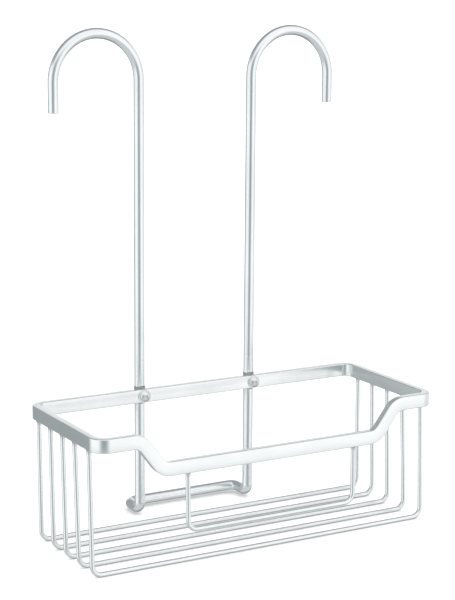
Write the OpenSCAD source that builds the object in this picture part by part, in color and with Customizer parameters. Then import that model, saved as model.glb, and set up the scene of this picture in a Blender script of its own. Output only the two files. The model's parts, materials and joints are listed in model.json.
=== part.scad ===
// Shower caddy that hangs over the two inlets of a wall-mounted shower mixer.
// Frame: +Z up, -Y is the front, origin on the ground plane under the middle of the outline.

/* [Basket rim] */
// Width of the rim, outside
rim_w = 250; // [225:1:320]
// Depth of the rim, outside
rim_d = 103.5; // [95:0.5:140]
// Height of the rim's top above the ground
rim_top = 90; // [80:1:120]
// Height of the flat bar
bar_h = 9; // [8:0.5:12]
// Thickness of the flat bar
bar_t = 5.2; // [4:0.1:6]
// Outer radius of the rim's corners
corner_r = 10.5; // [8:0.5:13]
// How far the front bar dips
dip = 20; // [17:0.5:24]
// Bend radius of the S-bends, along the middle of the bar
dip_r = 11; // [8:0.5:12]
// Width of the level stretch at the bottom of the dip
dip_flat_w = 147; // [126:1:150]

/* [Basket wires] */
// Diameter of the basket wires
wire_d = 3.2; // [2.5:0.1:4]
// Bend radius of the basket wires, along their middle
wire_bend_r = 6.5; // [5:0.5:14]
// Distance from the rim's back face to the rear wire, at the bottom
wire_first_y = 16; // [12:0.5:18]
// Spacing of the wires along the bottom
wire_pitch = 19.15; // [17:0.05:19.5]
// Distance from the rim's back face to the rear wire, at the rim
leg_first_y = 14.5; // [12:0.5:18]
// Spacing of the wires along the rim
leg_pitch = 18; // [16:0.5:19.5]
// Distance from the rim's front face to the front wire, at the rim
leg_last_y = 14.5; // [12:0.5:18]
// Distance from the rim's side faces to the middle of the wires' legs
leg_inset = 2; // [1.8:0.1:3]

/* [Front guard] */
// Width between the guard's two legs, centre to centre
guard_w = 122.5; // [90:0.5:140]
// Height of the guard wire above the ground
guard_z = 23.7; // [16:0.1:40]
// How far the guard wire lies in front of its welds
guard_lean = 0.8; // [0:0.1:1]

/* [Hook frame] */
// Diameter of the bent rod
rod_d = 7; // [6:0.5:8]
// Distance between the two uprights, centre to centre
rod_span = 84.6; // [70:0.2:110]
// Radius of the hooks, along the middle of the rod
hook_r = 30.3; // [24:0.1:40]
// Overall height
overall_h = 329; // [260:1:420]
// Length of the straight end of each hook
hook_end = 19.5; // [5:0.5:40]
// Distance from the rim's back face to the wall
wall_reach = 24; // [23.5:0.5:40]
// Distance from the rim's back face to the middle of the uprights
rod_set_back = 2.2; // [1:0.1:2.8]
// Height of the cross bar's middle above the ground
cross_z = 4.8; // [4.5:0.1:40]
// Bend radius at the foot of each upright, along the middle of the rod
foot_r = 5.5; // [5:0.1:8.8]

/* [Fixing] */
// Width of the flattened seat behind the rim
seat_w = 7.6; // [7.2:0.1:9.5]
// Height of the flattened seat
seat_h = 12; // [11:0.5:14]
// Thickness of the flattened seat
seat_t = 4.2; // [3.5:0.1:5]
// Diameter of the screw's shank
screw_d = 4; // [3:0.5:5]
// Length of the screw's shank
screw_l = 12; // [11:0.5:14]
// Diameter of the screw's head
screw_head_d = 7.6; // [6.8:0.1:8]
// Height of the screw's domed head
screw_head_h = 2.2; // [1.8:0.1:2.5]
// Outside diameter of the washer
washer_d = 9; // [8:0.1:9]
// Thickness of the washer
washer_t = 0.8; // [0.5:0.1:1]

/* [Hidden] */
$fn = 64;

metal = "silver";
wire_count = 5;
quarter = 90;
dip_slope = atan(4 / 3); // slope of the dip's S-bends: 4 down for 3 along
edge_cut = 0.7; // chamfer along the long edges of the flat bar
hole_gap = 0.2; // clearance on the diameter of the screw's hole in the rim
recess_d = 2.9; // hexagon socket in the screw's head, across its corners
recess_depth = 1.3;
far = 2 * overall_h; // longer than anything that it cuts

overall_d = rim_d + wall_reach;
rim_front_y = -overall_d / 2;
rim_back_y = rim_front_y + rim_d;
bar_bottom_z = rim_top - bar_h;
bar_mid_z = rim_top - bar_h / 2;
bar_mid_r = corner_r - bar_t / 2;
wire_z = wire_d / 2;
rod_y = rim_back_y + rod_set_back;
cross_y = overall_d / 2 - rod_d / 2;
hook_z = overall_h - rod_d / 2 - hook_r;

// A bend about the Z axis that starts on -X. A quarter or half turn is made whole, and any other angle is
// cut from a half turn, which keeps its end faces exact.
module bend(angle, r) {
    if (angle == quarter || angle == 2 * quarter) {
        rotate([0, 0, 180 - angle]) rotate_extrude(angle = angle) translate([r, 0]) children();
    } else {
        intersection() {
            rotate_extrude(angle = 180) translate([r, 0]) children();
            translate([0, 0, -2 * r]) linear_extrude(4 * r)
                polygon([[0, 0], [-5 * r, 0], [-5 * r * cos(angle), 5 * r * sin(angle)]]);
        }
    }
}

// A path is a list of steps: [length] goes straight, and [angle, radius, turn] bends by angle towards the
// direction turned that far from +X about the path. The path starts along +Z, and children() is its section.
module path(steps, i = 0) {
    if (i < len(steps)) {
        step = steps[i];
        if (len(step) == 1) {
            linear_extrude(step[0]) children();
            translate([0, 0, step[0]]) path(steps, i + 1) children();
        } else {
            angle = step[0];
            r = step[1];
            rotate([0, 0, step[2]]) {
                translate([r, 0, 0]) rotate([quarter, 0, 0]) bend(angle, r) rotate(-step[2]) children();
                translate([r * (1 - cos(angle)), 0, r * sin(angle)]) rotate([0, angle, 0])
                    rotate([0, 0, -step[2]]) path(steps, i + 1) children();
            }
        }
    }
}

// A shape and its mirror image in X, which meet in the middle.
module both_sides() {
    children();
    mirror([1, 0, 0]) children();
}

// Points a path's start along +X, with its own +X pointing down.
module along_x() {
    rotate([0, quarter, 0]) children();
}

// Section of the flat bar for a path that starts along_x: x is its height, y its thickness.
module bar_section() {
    h = bar_h / 2;
    t = bar_t / 2;
    polygon([
        [-h + edge_cut, -t], [h - edge_cut, -t], [h, -t + edge_cut], [h, t - edge_cut],
        [h - edge_cut, t], [-h + edge_cut, t], [-h, t - edge_cut], [-h, -t + edge_cut]
    ]);
}

// Places children at both screws, at the middle of the back bar's inner face, with +Z pointing to the front.
module at_screws() {
    for (side = [-1, 1])
        translate([side * rod_span / 2, rim_back_y - bar_t, bar_mid_z]) rotate([quarter, 0, 0]) children();
}

module rim() {
    side_length = rim_d - 2 * corner_r;
    slope_length = (dip - 2 * dip_r * (1 - cos(dip_slope))) / sin(dip_slope);
    bend_run = 2 * dip_r * sin(dip_slope) + slope_length * cos(dip_slope);
    back_half = rim_w / 2 - corner_r;
    color(metal) difference() {
        both_sides() translate([0, rim_back_y - bar_t / 2, bar_mid_z]) along_x() path([
            [back_half],
            [quarter, bar_mid_r, -quarter],
            [side_length],
            [quarter, bar_mid_r, -quarter],
            [back_half - bend_run - dip_flat_w / 2],
            [dip_slope, dip_r, 0],
            [slope_length],
            [dip_slope, dip_r, 180],
            [dip_flat_w / 2]
        ]) bar_section();
        at_screws() translate([0, 0, -2 * bar_t]) cylinder(d = screw_d + hole_gap, h = 3 * bar_t);
    }
}

function wire_bottom_y(i) = rim_back_y - wire_first_y - i * wire_pitch;
function wire_top_y(i) = i < wire_count - 1
    ? rim_back_y - leg_first_y - i * leg_pitch
    : rim_front_y + leg_last_y;

// A U-shaped wire: level along its bottom, with legs that lean back as they rise to top_z.
module u_wire(half_w, bottom_y, bottom_z, top_y, top_z) {
    rise = top_z - bottom_z;
    lean = atan((top_y - bottom_y) / rise);
    difference() {
        both_sides() translate([0, bottom_y, bottom_z]) rotate([-lean, 0, 0]) along_x()
            path([[half_w - wire_bend_r], [quarter, wire_bend_r, 180], [rise]]) circle(d = wire_d);
        translate([-far / 2, -far / 2, top_z]) cube(far);
    }
}

// Basket wire number i, counted from the back.
module base_wire(i) {
    color(metal) u_wire(rim_w / 2 - leg_inset, wire_bottom_y(i), wire_z, wire_top_y(i), bar_bottom_z);
}

module front_guard() {
    weld_y = rim_front_y + bar_t / 2;
    color(metal) u_wire(guard_w / 2, weld_y - guard_lean, guard_z, weld_y, bar_bottom_z - dip);
}

// One bent rod: both hooks, both uprights and the cross bar that rests on the wall.
module hook_frame() {
    hook_end_x = -rod_span / 2 - 2 * hook_r;
    foot_run = cross_y - rod_y - 2 * foot_r;
    color(metal) difference() {
        union() {
            both_sides() translate([hook_end_x, rod_y, hook_z - hook_end]) path([
                [hook_end],
                [180, hook_r, 0],
                [hook_z - cross_z - foot_r],
                [quarter, foot_r, quarter],
                [foot_run],
                [quarter, foot_r, 180],
                [rod_span / 2 - foot_r]
            ]) circle(d = rod_d);
            for (side = [-1, 1])
                translate([side * rod_span / 2 - seat_w / 2, rim_back_y, bar_mid_z - seat_h / 2])
                    cube([seat_w, seat_t, seat_h]);
        }
        for (side = [-1, 1])
            translate([side * rod_span / 2, 0, bar_mid_z]) {
                translate([-seat_w, rim_back_y - rod_d, -seat_h / 2]) cube([2 * seat_w, rod_d, seat_h]);
                translate([-seat_w, rim_back_y + seat_t, -seat_h / 2]) cube([2 * seat_w, rod_d, seat_h]);
            }
        at_screws() translate([0, 0, -far / 2]) cylinder(d = screw_d, h = far / 2);
    }
}

module screw_washers() {
    color(metal) at_screws() difference() {
        cylinder(d = washer_d, h = washer_t);
        translate([0, 0, -washer_t]) cylinder(d = screw_d + hole_gap, h = 3 * washer_t);
    }
}

// Screws with a domed head on the basket's inside, threaded through the flattened seats.
module fixing_screws() {
    dome_r = (pow(screw_head_d / 2, 2) + pow(screw_head_h, 2)) / (2 * screw_head_h);
    color(metal) at_screws() translate([0, 0, washer_t]) difference() {
        union() {
            translate([0, 0, -screw_l]) cylinder(d = screw_d, h = screw_l);
            intersection() {
                translate([0, 0, screw_head_h - dome_r]) sphere(r = dome_r);
                cylinder(d = screw_head_d, h = screw_head_h);
            }
        }
        translate([0, 0, screw_head_h - recess_depth]) cylinder(d = recess_d, h = screw_head_h, $fn = 6);
    }
}

hook_frame();
rim();
base_wire(0);  // base_wire_1
base_wire(1);  // base_wire_2
base_wire(2);  // base_wire_3
base_wire(3);  // base_wire_4
base_wire(4);  // base_wire_5
front_guard();
screw_washers();
fixing_screws();
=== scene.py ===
"""Shower caddy in satin anodised aluminium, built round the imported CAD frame. All lengths are in metres."""
import json
import math

import bpy
from mathutils import Matrix, Vector

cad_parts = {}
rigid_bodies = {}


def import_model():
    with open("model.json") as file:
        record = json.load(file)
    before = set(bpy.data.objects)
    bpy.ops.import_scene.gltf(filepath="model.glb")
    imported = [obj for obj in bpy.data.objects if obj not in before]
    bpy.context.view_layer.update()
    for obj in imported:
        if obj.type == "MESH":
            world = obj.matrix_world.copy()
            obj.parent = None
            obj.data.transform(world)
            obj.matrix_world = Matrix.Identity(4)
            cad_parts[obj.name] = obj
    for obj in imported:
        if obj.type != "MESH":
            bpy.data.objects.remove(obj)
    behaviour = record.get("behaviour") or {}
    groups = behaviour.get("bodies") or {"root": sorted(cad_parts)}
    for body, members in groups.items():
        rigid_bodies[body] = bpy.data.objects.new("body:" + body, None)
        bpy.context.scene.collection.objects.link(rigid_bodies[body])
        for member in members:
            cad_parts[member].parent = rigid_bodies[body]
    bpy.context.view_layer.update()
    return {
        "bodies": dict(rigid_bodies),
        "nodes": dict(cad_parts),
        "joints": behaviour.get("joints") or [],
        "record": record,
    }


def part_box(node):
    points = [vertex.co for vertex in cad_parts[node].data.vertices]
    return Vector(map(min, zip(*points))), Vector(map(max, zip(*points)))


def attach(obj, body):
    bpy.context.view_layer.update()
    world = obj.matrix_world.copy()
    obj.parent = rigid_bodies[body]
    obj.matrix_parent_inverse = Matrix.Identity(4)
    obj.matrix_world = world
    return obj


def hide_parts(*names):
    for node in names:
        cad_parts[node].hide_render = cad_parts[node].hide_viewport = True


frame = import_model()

MM = 0.001

# Sizes that the boxes of the CAD nodes don't give
ROD_R = 3.5 * MM
WIRE_R = 1.6 * MM
BAR_H = 9 * MM
BAR_T = 5.2 * MM
BAR_EDGE_R = 0.65 * MM
CORNER_R = 10.5 * MM
DIP_R = 11 * MM
DIP_FLAT_W = 147 * MM
WIRE_BEND_R = 6.5 * MM
HOOK_R = 30.3 * MM
HOOK_END = 19.5 * MM
FOOT_R = 5.5 * MM
SEAT_W = 7.2 * MM
SEAT_H = 12 * MM
SEAT_T = 4.2 * MM
SHOULDER = 0.7 * MM  # over which the round rod turns into its flattened seat
SEAT_POWER = 5  # of the superellipse that the seat's section is
END_BEVEL = 0.5 * MM  # round on the edge of the rod's cut ends
DIP_SLOPE = math.degrees(math.atan2(4, 3))

# How dark the seat's middle and its two ends are made, from 0 to 1. The ends are painted shade, for the
# crevice where the seat shows beside the rim bar; the lighter middle is partly the dulling of pressing and
# partly painted shade.
SEAT_DULLING_AND_SHADE = 0.25
SHOULDER_PAINTED_SHADE = 0.8
SHADOW_BAND_FROM, SHADOW_BAND_TO = 0.4, 0.5  # where the middle turns into an end, in bar heights from the seat's middle

# Places, from the frame
rim_lo, rim_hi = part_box("rim")
rod_lo, rod_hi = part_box("hook_frame")
head_lo, head_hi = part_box("fixing_screws")
washer_lo, washer_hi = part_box("screw_washers")
bar_mid_z = rim_hi.z - BAR_H / 2
rod_x = rod_hi.x - ROD_R - 2 * HOOK_R
rod_y = rod_lo.y + ROD_R
cross_y = rod_hi.y - ROD_R
cross_z = rod_lo.z + ROD_R
hook_z = rod_hi.z - ROD_R - HOOK_R
screw_z = (head_lo.z + head_hi.z) / 2


# ---------------------------------------------------------------- paths and sweeps

ROD_SIDES = 32
WIRE_SIDES = 24
END_RINGS = 5
BEND_STEP = 4.0  # degrees between the rings of a bend
SHARP_EDGE = math.radians(40)  # an edge that bends more than this is shaded as a sharp one


def pointing(at, along, first):
    """A frame at a point: Z runs along the path, and X is the section's first axis."""
    z = Vector(along).normalized()
    x = Vector(first).normalized()
    y = z.cross(x)
    axes = Matrix((x, y, z)).transposed().to_4x4()
    return Matrix.Translation(Vector(at)) @ axes


def go(length, rings=1):
    """A straight step, with that many rings along it."""
    return [("go", length / rings)] * rings


def turn(angle, radius, toward):
    """A bend by angle degrees towards the section's direction toward, 0 for its X and 90 for its Y."""
    count = max(1, math.ceil(angle / BEND_STEP))
    return [("turn", angle / count, radius, toward)] * count


def trace(start, steps):
    """The frames along a path of go and turn steps."""
    frames = [start]
    here = start
    for kind, size, *bend in steps:
        if kind == "go":
            here = here @ Matrix.Translation((0, 0, size))
        else:
            radius, toward = bend[0], math.radians(bend[1])
            phi = math.radians(size)
            side = Vector((math.cos(toward), math.sin(toward), 0))
            axis = Vector((-math.sin(toward), math.cos(toward), 0))
            step = side * radius * (1 - math.cos(phi)) + Vector((0, 0, radius * math.sin(phi)))
            here = here @ Matrix.Translation(step) @ Matrix.Rotation(phi, 4, axis)
        frames.append(here)
    return frames


def circle(radius, count=ROD_SIDES):
    """A loop of points, counterclockwise."""
    return [(radius * math.cos(a), radius * math.sin(a)) for a in angles(count)]


def angles(count):
    """That many angles, spaced evenly round a circle."""
    return [2 * math.pi * i / count for i in range(count)]


def rounded_rectangle(width, height, radius, per_corner=6):
    """A loop of points, counterclockwise."""
    loop = []
    for quarter, (sx, sy) in enumerate(((1, 1), (-1, 1), (-1, -1), (1, -1))):
        cx, cy = sx * (width / 2 - radius), sy * (height / 2 - radius)
        for i in range(per_corner):
            a = math.pi / 2 * (quarter + i / (per_corner - 1))
            loop.append((cx + radius * math.cos(a), cy + radius * math.sin(a)))
    return loop


def scaled(loop, inset):
    """The loop pulled in by about inset."""
    size = max(math.hypot(x, y) for x, y in loop)
    k = (size - inset) / size
    return [(x * k, y * k) for x, y in loop]


def mesh_piece(name, rings, closed_path, caps, grain=None, shades=None):
    """A piece made of rings of points: quads between them, and a flat face on each end.

    grain holds each point's place in the bar before it was bent, which the metal's drawing lines follow.
    shades says how dark each ring is made, from 0 to 1: a tint where metal was welded, and painted shade in
    recesses, at the rod's pressed seat and in the screw's socket.
    """
    count = len(rings[0])
    verts = [p for ring in rings for p in ring]
    faces = []
    last = len(rings) if closed_path else len(rings) - 1
    for r in range(last):
        a, b = r * count, (r + 1) % len(rings) * count
        for i in range(count):
            j = (i + 1) % count
            faces.append((a + i, a + j, b + j, b + i))
    if caps:
        faces.append(tuple(reversed(range(count))))
        faces.append(tuple((len(rings) - 1) * count + i for i in range(count)))
    mesh = bpy.data.meshes.new(name)
    mesh.from_pydata(verts, [], faces)
    mesh.validate()
    along = mesh.attributes.new("grain", "FLOAT_VECTOR", "POINT")
    along.data.foreach_set("vector", [c for p in grain or verts for c in p])
    tint_and_painted_shade = mesh.attributes.new("tint_and_painted_shade", "FLOAT", "POINT")
    tint_and_painted_shade.data.foreach_set("value", [d for d in shades or [0.0] * len(rings) for _ in range(count)])
    mesh.polygons.foreach_set("use_smooth", [True] * len(mesh.polygons))
    mesh.set_sharp_from_angle(angle=SHARP_EDGE)
    piece = bpy.data.objects.new(name, mesh)
    bpy.context.scene.collection.objects.link(piece)
    return piece


def sweep(name, frames, loops, closed=False, shades=None):
    """Sweeps a loop, or one loop per frame, along the frames.

    On a closed path the grain runs out from its start both ways, so that it meets itself.
    """
    if not isinstance(loops[0], list):
        loops = [loops] * len(frames)
    rings = [[m @ Vector((x, y, 0)) for x, y in loop] for m, loop in zip(frames, loops)]
    reach = [0.0]
    for a, b in zip(frames, frames[1:]):
        reach.append(reach[-1] + (b.translation - a.translation).length)
    if closed:
        whole = reach[-1] + (frames[0].translation - frames[-1].translation).length
        reach = [min(r, whole - r) for r in reach]
    grain = [(x, y, r) for r, loop in zip(reach, loops) for x, y in loop]
    return mesh_piece(name, rings, closed, not closed, grain, shades)


def rounded_end(frame, loop, bevel, at_start):
    """Frames and loops for a cut end whose edge is broken by a small round."""
    out = []
    for i in range(END_RINGS):
        a = math.pi / 2 * i / (END_RINGS - 1)
        back = bevel * (1 - math.sin(a))
        inset = bevel * (1 - math.cos(a))
        shift = back if at_start else -back
        out.append((frame @ Matrix.Translation((0, 0, shift)), scaled(loop, inset)))
    return list(reversed(out)) if at_start else out


# ---------------------------------------------------------------- pieces

def blend(a, b, w):
    """The loop that is a share w of the way from loop a to loop b."""
    return [(x0 + (x1 - x0) * w, y0 + (y1 - y0) * w) for (x0, y0), (x1, y1) in zip(a, b)]


def smooth(x):
    """A soft step from 0 to 1."""
    x = min(1.0, max(0.0, x))
    return x * x * (3 - 2 * x)


def seat_loop():
    """Section of the rod where it is pressed flat behind the rim: a rectangle with soft corners."""
    power = 2 / SEAT_POWER
    middle = rim_hi.y + SEAT_T / 2 - rod_y
    loop = []
    for a in angles(ROD_SIDES):
        c, s = math.cos(a), math.sin(a)
        x = math.copysign(abs(c) ** power, c) * SEAT_W / 2
        y = math.copysign(abs(s) ** power, s) * SEAT_T / 2
        loop.append((x, middle + y))
    return loop


def hook_frame():
    """The one bent rod: hook, upright, foot, cross bar, foot, upright, hook."""
    foot_run = cross_y - rod_y - 2 * FOOT_R
    rise = hook_z - cross_z - FOOT_R
    above = hook_z - bar_mid_z - SEAT_H / 2
    below = rise - above - SEAT_H
    seat = go(SEAT_H, 48)
    steps = [
        *go(HOOK_END, 4), *turn(180, HOOK_R, 0), *go(above, 12), *seat, *go(below, 6),
        *turn(90, FOOT_R, 90), *go(foot_run), *turn(90, FOOT_R, 180),
        *go(2 * (rod_x - FOOT_R), 8),
        *turn(90, FOOT_R, 180), *go(foot_run), *turn(90, FOOT_R, 90),
        *go(below, 6), *seat, *go(above, 12), *turn(180, HOOK_R, 0), *go(HOOK_END, 4),
    ]
    start = pointing((-rod_x - 2 * HOOK_R, rod_y, hook_z - HOOK_END), (0, 0, 1), (1, 0, 0))
    frames = trace(start, steps)
    round_rod, flat_rod = circle(ROD_R), seat_loop()
    loops, shades = [], []
    for m in frames:
        at = m.translation
        off = abs(at.z - bar_mid_z)
        on_upright = abs(abs(at.x) - rod_x) < ROD_R and at.y < rod_y + ROD_R
        pressed = smooth((SEAT_H / 2 - off) / SHOULDER) if on_upright else 0.0
        near_end = smooth((off / BAR_H - SHADOW_BAND_FROM) / (SHADOW_BAND_TO - SHADOW_BAND_FROM))
        loops.append(blend(round_rod, flat_rod, pressed))
        # Painted shade in the crevice beside the rim bar, darkest at the seat's two ends; in the middle it is
        # partly the dulling of pressing.
        shades.append(pressed * (SEAT_DULLING_AND_SHADE + (SHOULDER_PAINTED_SHADE - SEAT_DULLING_AND_SHADE) * near_end))
    first = rounded_end(frames[0], round_rod, END_BEVEL, True)
    last = rounded_end(frames[-1], round_rod, END_BEVEL, False)
    frames = [m for m, _ in first] + frames[1:-1] + [m for m, _ in last]
    loops = [l for _, l in first] + loops[1:-1] + [l for _, l in last]
    shades = [0.0] * len(first) + shades[1:-1] + [0.0] * len(last)
    return sweep("bent_rod", frames, loops, shades=shades)


def rim():
    """The closed ring of flat bar, with its dipped front."""
    width, depth = rim_hi.x - rim_lo.x, rim_hi.y - rim_lo.y
    dip = rim_hi.z - rim_lo.z - BAR_H
    mid_r = CORNER_R - BAR_T / 2
    slope = math.radians(DIP_SLOPE)
    slope_len = (dip - 2 * DIP_R * (1 - math.cos(slope))) / math.sin(slope)
    run = 2 * DIP_R * math.sin(slope) + slope_len * math.cos(slope)
    side = depth - 2 * CORNER_R
    level = width / 2 - CORNER_R - run - DIP_FLAT_W / 2
    # X of the section points down, and Y points inwards
    dip_in = [*turn(DIP_SLOPE, DIP_R, 0), *go(slope_len, 4), *turn(DIP_SLOPE, DIP_R, 180)]
    dip_out = [*turn(DIP_SLOPE, DIP_R, 180), *go(slope_len, 4), *turn(DIP_SLOPE, DIP_R, 0)]
    corner = turn(90, mid_r, -90)
    steps = [
        *go(width - 2 * CORNER_R, 12), *corner, *go(side, 6), *corner, *go(level, 3), *dip_in,
        *go(DIP_FLAT_W, 10), *dip_out, *go(level, 3), *corner, *go(side, 6), *corner,
    ]
    start = pointing((rim_lo.x + CORNER_R, rim_hi.y - BAR_T / 2, bar_mid_z), (1, 0, 0), (0, 0, -1))
    frames = trace(start, steps)[:-1]
    return sweep("rim_bar", frames, rounded_rectangle(BAR_H, BAR_T, BAR_EDGE_R), closed=True)


WELD = 1.2 * MM  # height of the collar that a weld leaves on a wire
HEATED = 3.2 * MM  # length of wire that the weld dulls
COLLAR = 0.35 * MM  # how far the collar stands out from the wire
WELD_DULL = 0.45


def u_wire(name, node):
    """A U-shaped wire with its leg ends upset a little where they are welded under the bar."""
    lo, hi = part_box(node)
    half = hi.x - WIRE_R
    bottom = Vector((-half, lo.y + WIRE_R, lo.z + WIRE_R))
    lean = math.atan2(hi.y - WIRE_R - bottom.y, hi.z - bottom.z)
    up = Vector((0, math.sin(lean), math.cos(lean)))
    leg = (hi.z - bottom.z) / math.cos(lean)
    start = pointing(bottom + up * leg, -up, (1, 0, 0))
    straight = leg - WIRE_BEND_R
    leg_end = [*go(WELD, 6), *go(HEATED - WELD, 4)]
    steps = [
        *leg_end, *go(straight - HEATED, 8), *turn(90, WIRE_BEND_R, 0),
        *go(2 * (half - WIRE_BEND_R), 16), *turn(90, WIRE_BEND_R, 0),
        *go(straight - HEATED, 8), *reversed(leg_end),
    ]
    frames = trace(start, steps)
    drops = [hi.z - m.translation.z for m in frames]
    loops = [circle(WIRE_R + COLLAR * max(0.0, 1 - d / WELD) ** 2, WIRE_SIDES) for d in drops]
    heat = [WELD_DULL * max(0.0, 1 - d / HEATED) for d in drops]
    return sweep(name, frames, loops, shades=heat)


def revolve(at, profile, count=48, shape=None):
    """The rings of a turned piece on an axis that points to the front, from its (radius, height) points.

    shape(i, angle) scales ring number i at that angle, for rings that aren't round.
    """
    rings = []
    for i, (r, h) in enumerate(profile):
        ring = []
        for a in angles(count):
            k = shape(i, a) if shape else 1.0
            ring.append(Vector(at) + Vector((r * k * math.cos(a), -h, r * k * math.sin(a))))
        rings.append(ring)
    return rings


HEAD_R = 3.8 * MM
HEAD_H = 2.2 * MM
HEAD_EDGE = 0.25 * MM  # chamfer under the head
DOME_FOOT = 0.3 * MM  # height at which the dome starts
SHANK_R = 2.0 * MM
TIP_BEVEL = 0.5 * MM
THREAD_PITCH = 0.7 * MM
THREAD_DEPTH = 0.3 * MM
SOCKET_R = 1.45 * MM  # to the hexagon's corners
SOCKET_DEPTH = 1.3 * MM
SOCKET_LIP = 0.15 * MM  # width of the slope from the dome to the hexagon's corners
SOCKET_DROP = 0.08 * MM  # how far that slope ends below the dome
SOCKET_CONE = 0.3 * MM
CONE_TIP_R = 0.05 * MM
# Painted shade in the screw's socket, darker deeper in.
SOCKET_PAINTED_SHADE = [0.1, 0.2, 0.45]  # at its mouth, at the foot of its walls and in the middle of its floor
DOME_RINGS = 10
WASHER_R = 4.5 * MM
WASHER_BORE = 2.1 * MM
WASHER_EDGE = 0.15 * MM


def hexagon(a):
    """How far a hexagon's outline is from its centre at angle a, as a share of its corner radius."""
    sector = math.pi / 3
    return math.cos(sector / 2) / math.cos((a % sector) - sector / 2)


def screw(name, side):
    """A domed screw with a hexagon socket. Its profile runs from the tip, round the head, to the socket."""
    face_y = washer_lo.y
    length = head_hi.y - face_y
    tip = TIP_BEVEL - length
    dome_r = (HEAD_R ** 2 + HEAD_H ** 2) / (2 * HEAD_H)

    def dome_h(r):
        return HEAD_H - (dome_r - math.sqrt(dome_r ** 2 - r ** 2))

    profile = [(SHANK_R - TIP_BEVEL, -length), (SHANK_R, tip)]
    for i in range(int((length - 2 * TIP_BEVEL) / THREAD_PITCH)):
        h = tip + i * THREAD_PITCH
        profile += [(SHANK_R, h), (SHANK_R - THREAD_DEPTH, h + THREAD_PITCH / 2)]
    profile += [(SHANK_R, 0), (HEAD_R - HEAD_EDGE, 0), (HEAD_R, HEAD_EDGE)]
    high = math.asin(HEAD_R / dome_r)
    low = math.asin((SOCKET_R + SOCKET_LIP) / dome_r)
    for i in range(1, DOME_RINGS + 1):
        r = dome_r * math.sin(high + (low - high) * i / DOME_RINGS)
        profile.append((r, max(DOME_FOOT, dome_h(r))))
    first_hex = len(profile)
    floor_h = HEAD_H - SOCKET_DEPTH
    profile += [(SOCKET_R, dome_h(SOCKET_R) - SOCKET_DROP), (SOCKET_R, floor_h)]
    profile.append((CONE_TIP_R, floor_h - SOCKET_CONE))

    def shape(i, a):
        return hexagon(a) if i >= first_hex else 1.0

    rings = revolve((side * rod_x, face_y, screw_z), profile, shape=shape)
    # The socket's rings carry painted shade, for the shade inside the hollow.
    return mesh_piece(name, rings, False, True, shades=[0.0] * first_hex + SOCKET_PAINTED_SHADE)


def washer(name, side):
    """A flat washer with broken edges."""
    thick = washer_hi.y - washer_lo.y
    bore, edge = WASHER_BORE, WASHER_EDGE
    profile = [
        (bore + edge, 0), (WASHER_R - edge, 0), (WASHER_R, edge), (WASHER_R, thick - edge),
        (WASHER_R - edge, thick), (bore + edge, thick), (bore, thick - edge), (bore, edge),
    ]
    rings = revolve((side * rod_x, washer_hi.y, screw_z), profile)
    return mesh_piece(name, rings, True, False)


# ---------------------------------------------------------------- materials

# Noises over the unbent bar: scale per metre, detail, and how many times longer they are along than across
CLOUDS = (70, 3, 3.0)
GLOSS_STREAKS = (900, 4, 25.0)
DRAWING_LINES = (2500, 3, 60.0)
BLASTED_GRAIN = (6000, 2, 1.0)

NOISE_LOW, NOISE_HIGH = 0.3, 0.7  # most of a noise's values lie between these

PALE, DARK = 1.03, 0.95  # tone of the clouds, as a share of the metal's colour
# The darkest colour is reached at full weld tint and at full painted shade.
DARKEST_TINT_AND_SHADE = 0.3  # share of its colour that the dullest metal keeps
GLOSS_SPREAD = 0.02
LINE_DEPTH = 0.02 * MM
GRAIN_DEPTH, GRAIN_STRENGTH = 0.01 * MM, 0.05


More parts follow.
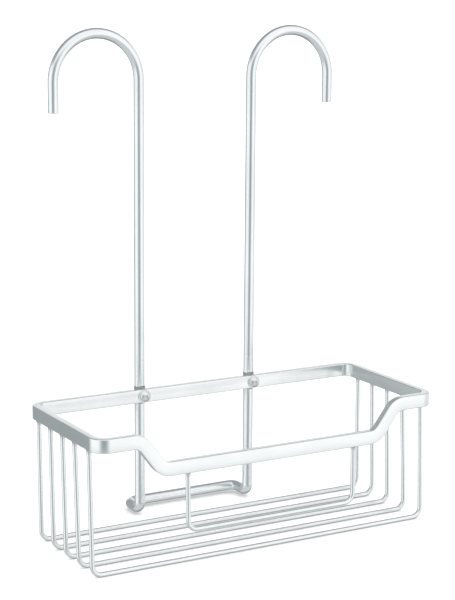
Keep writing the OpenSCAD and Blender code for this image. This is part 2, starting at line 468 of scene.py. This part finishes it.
def satin_metal(name, color, roughness, lines):
    """Satin metal, with lines drawn along the bar, a fine blasted grain, soft clouds and streaks of gloss.

    lines is how strong the drawn lines are.
    """
    material = bpy.data.materials.new(name)
    material.use_nodes = True
    nodes, links = material.node_tree.nodes, material.node_tree.links
    shader = nodes["Principled BSDF"]
    shader.inputs["Metallic"].default_value = 1.0
    grain = nodes.new("ShaderNodeAttribute")
    grain.attribute_name = "grain"

    def noise(scale, detail, stretch):
        place = nodes.new("ShaderNodeVectorMath")
        place.operation = "MULTIPLY"
        place.inputs[1].default_value = (1, 1, 1 / stretch)
        links.new(grain.outputs["Vector"], place.inputs[0])
        texture = nodes.new("ShaderNodeTexNoise")
        texture.inputs["Scale"].default_value = scale
        texture.inputs["Detail"].default_value = detail
        links.new(place.outputs["Vector"], texture.inputs["Vector"])
        return texture.outputs["Fac"]

    def spread(value, low, high):
        """The middle of a noise's values, spread from low to high."""
        ramp = nodes.new("ShaderNodeMapRange")
        ramp.inputs["From Min"].default_value = NOISE_LOW
        ramp.inputs["From Max"].default_value = NOISE_HIGH
        ramp.inputs["To Min"].default_value = low
        ramp.inputs["To Max"].default_value = high
        links.new(value, ramp.inputs["Value"])
        return ramp.outputs["Result"]

    def bump(height, strength, depth, under=None):
        node = nodes.new("ShaderNodeBump")
        node.inputs["Strength"].default_value = strength
        node.inputs["Distance"].default_value = depth
        links.new(height, node.inputs["Height"])
        if under:
            links.new(under, node.inputs["Normal"])
        return node.outputs["Normal"]

    tone = nodes.new("ShaderNodeMix")
    tone.data_type = "RGBA"
    tone.inputs["A"].default_value = (*[c * DARK for c in color], 1)
    tone.inputs["B"].default_value = (*[c * PALE for c in color], 1)
    links.new(spread(noise(*CLOUDS), 0, 1), tone.inputs["Factor"])
    # Darkened by the weld tint, and by painted shade in the rod's seat beside the rim bar and in the screw's
    # socket.
    tint_and_painted_shade = nodes.new("ShaderNodeAttribute")
    tint_and_painted_shade.attribute_name = "tint_and_painted_shade"
    tinted_and_shaded = nodes.new("ShaderNodeMix")
    tinted_and_shaded.data_type = "RGBA"
    tinted_and_shaded.inputs["B"].default_value = (*[c * DARKEST_TINT_AND_SHADE for c in color], 1)
    links.new(tint_and_painted_shade.outputs["Fac"], tinted_and_shaded.inputs["Factor"])
    links.new(tone.outputs["Result"], tinted_and_shaded.inputs["A"])
    links.new(tinted_and_shaded.outputs["Result"], shader.inputs["Base Color"])
    gloss = spread(noise(*GLOSS_STREAKS), roughness - GLOSS_SPREAD, roughness + GLOSS_SPREAD)
    links.new(gloss, shader.inputs["Roughness"])
    drawn = bump(noise(*DRAWING_LINES), lines, LINE_DEPTH)
    links.new(bump(noise(*BLASTED_GRAIN), GRAIN_STRENGTH, GRAIN_DEPTH, drawn), shader.inputs["Normal"])
    return material


def finish_piece(piece, material, slot, *nodes):
    """Gives a piece its metal, hides the CAD nodes that it stands for, and hangs it on the root body."""
    piece.data.materials.append(material)
    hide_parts(*nodes)
    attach(piece, "root")


rod_metal = satin_metal("rod_metal", (0.86, 0.88, 0.89), roughness=0.24, lines=0.03)
rim_metal = satin_metal("rim_metal", (0.88, 0.90, 0.90), roughness=0.25, lines=0.025)
wire_metal = satin_metal("wire_metal", (0.85, 0.87, 0.87), roughness=0.24, lines=0.03)
screw_metal = satin_metal("screw_metal", (0.80, 0.81, 0.81), roughness=0.22, lines=0.02)

finish_piece(hook_frame(), rod_metal, "rod_metal", "hook_frame")
finish_piece(rim(), rim_metal, "rim_metal", "rim")
for number in range(1, 6):
    node = f"base_wire_{number}"
    finish_piece(u_wire(f"bottom_wire_{number}", node), wire_metal, "wire_metal", node)
finish_piece(u_wire("guard_wire", "front_guard"), wire_metal, "wire_metal", "front_guard")
for word, side in (("left", -1), ("right", 1)):
    finish_piece(screw(f"{word}_screw", side), screw_metal, "screw_metal", "fixing_screws")
    finish_piece(washer(f"{word}_washer", side), screw_metal, "screw_metal", "screw_washers")


# ---------------------------------------------------------------- stage, light and camera

CAMERA_AZIMUTH = math.radians(-29.87)
CAMERA_PITCH = math.radians(11.29)
CAMERA_ROLL = math.radians(0.43)
CAMERA_DISTANCE = 1.121
CAMERA_AIM = Vector((-0.0054, rim_hi.y - 0.0511, 0.1557))
LENS_MM = 103.84
NEAREST, FARTHEST = 0.01, 100

# What the metal mirrors, by degrees to the right of the camera. Level with the object there are pale walls,
# with a dim gap on the camera's side and another at the back left. Above and below, it is dim behind.
LEVEL = [
    (-180, (0.84, 0.85, 0.86)), (-156, (0.80, 0.81, 0.82)), (-134, (0.28, 0.31, 0.32)),
    (-120, (0.28, 0.31, 0.32)), (-86, (0.98, 0.99, 1.00)), (-34, (0.98, 0.99, 1.00)),
    (-11, (0.31, 0.35, 0.36)), (16, (0.31, 0.35, 0.36)), (42, (1.00, 1.00, 1.00)),
    (70, (1.00, 1.00, 1.00)), (98, (0.74, 0.76, 0.77)), (140, (0.74, 0.76, 0.77)),
    (180, (0.84, 0.85, 0.86)),
]
ABOVE = [
    (-180, (0.30, 0.32, 0.33)), (-70, (0.30, 0.32, 0.33)), (-25, (0.92, 0.93, 0.94)),
    (95, (0.96, 0.96, 0.96)), (130, (0.30, 0.32, 0.33)), (180, (0.30, 0.32, 0.33)),
]
BELOW = [
    (-180, (0.28, 0.30, 0.31)), (-145, (0.28, 0.30, 0.31)), (-115, (0.60, 0.62, 0.63)),
    (98, (0.60, 0.62, 0.63)), (128, (0.28, 0.30, 0.31)), (180, (0.28, 0.30, 0.31)),
]
FLOOR_LIGHT = (1.3, 1.3, 1.3)
WHITE = (1.0, 1.0, 1.0)
LIGHT_STRENGTH = 1.15

FLOOR_REACH = 40.0
FLOOR_COLOR = (0.88, 0.88, 0.88)
FLOOR_ROUGHNESS = 0.9

# Heights between which one ring turns into the next, on a sphere of radius 1
ABOVE_FROM, ABOVE_TO = 0.30, 0.50
BELOW_FROM, BELOW_TO = -0.32, -0.52

SUN_ENERGY = 0.6
SUN_ANGLE = math.radians(60)
SUN_BEARING, SUN_DISTANCE, SUN_HEIGHT = 70, 1.0, 1.6


def around(degrees, distance, height):
    """A point near the object, that many degrees to the right of the camera's side."""
    a = CAMERA_AZIMUTH + math.radians(degrees)
    return Vector((math.sin(a) * distance, -math.cos(a) * distance, height))


def floor():
    """A plain white floor, which the metal doesn't mirror."""
    mesh = bpy.data.meshes.new("floor")
    corners = [(x * FLOOR_REACH, y * FLOOR_REACH, 0) for x, y in ((-1, -1), (1, -1), (1, 1), (-1, 1))]
    mesh.from_pydata(corners, [], [(0, 1, 2, 3)])
    material = bpy.data.materials.new("floor_white")
    material.use_nodes = True
    shader = material.node_tree.nodes["Principled BSDF"]
    shader.inputs["Base Color"].default_value = (*FLOOR_COLOR, 1)
    shader.inputs["Roughness"].default_value = FLOOR_ROUGHNESS
    shader.inputs["Specular IOR Level"].default_value = 0.0
    mesh.materials.append(material)
    obj = bpy.data.objects.new("floor", mesh)
    bpy.context.scene.collection.objects.link(obj)
    obj.visible_glossy = False


def studio():
    """White all round for the camera, even light for the floor, and the three rings for the metal."""
    world = bpy.data.worlds.new("studio")
    bpy.context.scene.world = world
    world.use_nodes = True
    nodes, links = world.node_tree.nodes, world.node_tree.links

    def math_node(operation, first, second):
        node = nodes.new("ShaderNodeMath")
        node.operation = operation
        for value, socket in zip((first, second), node.inputs):
            if isinstance(value, (int, float)):
                socket.default_value = value
            else:
                links.new(value, socket)
        return node.outputs["Value"]

    def share(value, low, high, interpolation="LINEAR"):
        """How far a value is from low to high, from 0 to 1."""
        node = nodes.new("ShaderNodeMapRange")
        node.interpolation_type = interpolation
        node.inputs["From Min"].default_value = low
        node.inputs["From Max"].default_value = high
        links.new(value, node.inputs["Value"])
        return node.outputs["Result"]

    def ring(stops, around_share):
        """The colour of a ring of surroundings, from its (degrees, colour) stops."""
        node = nodes.new("ShaderNodeValToRGB")
        links.new(around_share, node.inputs["Fac"])
        elements = node.color_ramp.elements
        while len(elements) < len(stops):
            elements.new(0.5)
        for element, (degrees, color) in zip(elements, stops):
            element.position = (degrees + 180) / 360
            element.color = (*color, 1)
        return node.outputs["Color"]

    def mixed(factor, first, second):
        node = nodes.new("ShaderNodeMix")
        node.data_type = "RGBA"
        links.new(factor, node.inputs["Factor"])
        for value, name in ((first, "A"), (second, "B")):
            if isinstance(value, tuple):
                node.inputs[name].default_value = (*value, 1)
            else:
                links.new(value, node.inputs[name])
        return node.outputs["Result"]

    turned = nodes.new("ShaderNodeVectorRotate")
    turned.rotation_type = "Z_AXIS"
    turned.inputs["Angle"].default_value = -CAMERA_AZIMUTH
    links.new(nodes.new("ShaderNodeTexCoord").outputs["Generated"], turned.inputs["Vector"])
    parts = nodes.new("ShaderNodeSeparateXYZ")
    links.new(turned.outputs["Vector"], parts.inputs["Vector"])
    to_front = math_node("MULTIPLY", parts.outputs["Y"], -1)
    bearing = share(math_node("ARCTAN2", parts.outputs["X"], to_front), -math.pi, math.pi)
    level_to_above = share(parts.outputs["Z"], ABOVE_FROM, ABOVE_TO, "SMOOTHSTEP")
    level_to_below = share(parts.outputs["Z"], BELOW_FROM, BELOW_TO, "SMOOTHSTEP")
    color = mixed(level_to_above, ring(LEVEL, bearing), ring(ABOVE, bearing))
    color = mixed(level_to_below, color, ring(BELOW, bearing))
    rays = nodes.new("ShaderNodeLightPath")
    color = mixed(rays.outputs["Is Diffuse Ray"], color, FLOOR_LIGHT)
    color = mixed(rays.outputs["Is Camera Ray"], color, WHITE)
    background = nodes["Background"]
    links.new(color, background.inputs["Color"])
    background.inputs["Strength"].default_value = LIGHT_STRENGTH

    sun = bpy.data.lights.new("overhead", "SUN")
    sun.energy = SUN_ENERGY
    sun.angle = SUN_ANGLE
    obj = bpy.data.objects.new("overhead", sun)
    obj.visible_glossy = False
    shining = -around(SUN_BEARING, SUN_DISTANCE, SUN_HEIGHT)
    obj.rotation_euler = shining.to_track_quat("-Z", "Y").to_euler()
    bpy.context.scene.collection.objects.link(obj)


def camera():
    """A long lens from the front left, a little above, aimed at the middle of the object."""
    back = around(0, math.cos(CAMERA_PITCH), math.sin(CAMERA_PITCH))
    data = bpy.data.cameras.new("camera")
    data.lens = LENS_MM
    data.clip_start, data.clip_end = NEAREST, FARTHEST
    obj = bpy.data.objects.new("camera", data)
    look = (-back).to_track_quat("-Z", "Y").to_matrix().to_4x4()
    roll = Matrix.Rotation(CAMERA_ROLL, 4, "Z")
    obj.matrix_world = Matrix.Translation(CAMERA_AIM + back * CAMERA_DISTANCE) @ look @ roll
    bpy.context.scene.collection.objects.link(obj)
    bpy.context.scene.camera = obj


floor()
studio()
camera()
bpy.context.scene.view_settings.view_transform = "Standard"
